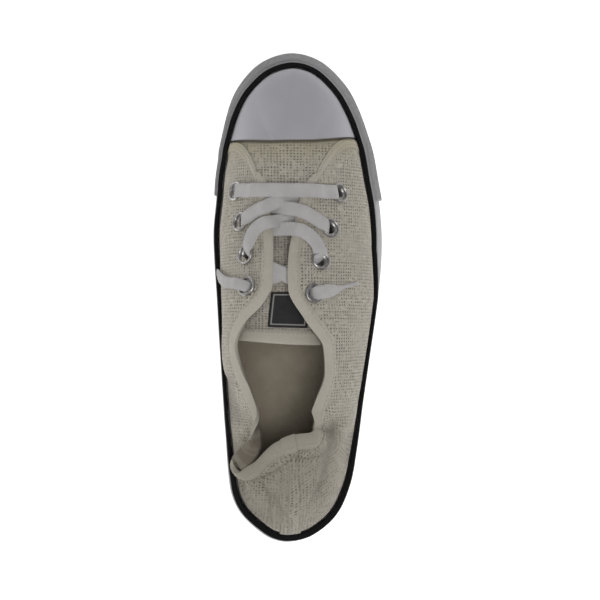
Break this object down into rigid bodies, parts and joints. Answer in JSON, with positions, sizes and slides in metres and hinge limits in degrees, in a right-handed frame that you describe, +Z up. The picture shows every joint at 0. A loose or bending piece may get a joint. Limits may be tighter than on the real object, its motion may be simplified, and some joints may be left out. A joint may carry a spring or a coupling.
{
  "type": "canvas sneaker",
  "caption": "Low lace-up canvas sneaker for the right foot, with a rubber toe cap, a striped rubber sidewall, a tongue, metal eyelets, flat laces and a slack heel.",
  "frame": {"origin": "on the floor under the middle of the shoe's box", "axes": "+Y from heel to toe, +X to the outer side of the right foot, +Z up"},
  "size_m": [0.0916, 0.2652, 0.0824],
  "materials": {
    "canvas": "unbleached cream basket-weave canvas, matt",
    "cap_rubber": "smooth white rubber, satin",
    "white_rubber": "white rubber, satin",
    "black_rubber": "black rubber strip, satin",
    "tan_rubber": "tan rubber, matt",
    "footbed": "worn beige cloth",
    "nickel": "dull nickel plate",
    "lace": "flat woven white lace"
  },
  "bodies": {
    "root": {"outsole": "tan_rubber", "midsole": "white_rubber", "foxing_stripe": "black_rubber", "toe_bumper": "white_rubber", "insole": "footbed", "upper": "canvas", "toe_cap": "cap_rubber", "tongue": "canvas", "eyelet_lateral_1": "nickel", "eyelet_lateral_2": "nickel", "eyelet_lateral_3": "nickel", "eyelet_lateral_4": "nickel", "eyelet_medial_1": "nickel", "eyelet_medial_2": "nickel", "eyelet_medial_3": "nickel", "eyelet_medial_4": "nickel", "lace_bar": "lace", "lace_cross_1": "lace", "lace_cross_2": "lace", "lace_cross_3": "lace", "lace_end_lateral": "lace", "lace_end_medial": "lace"}
  },
  "joints": []
}
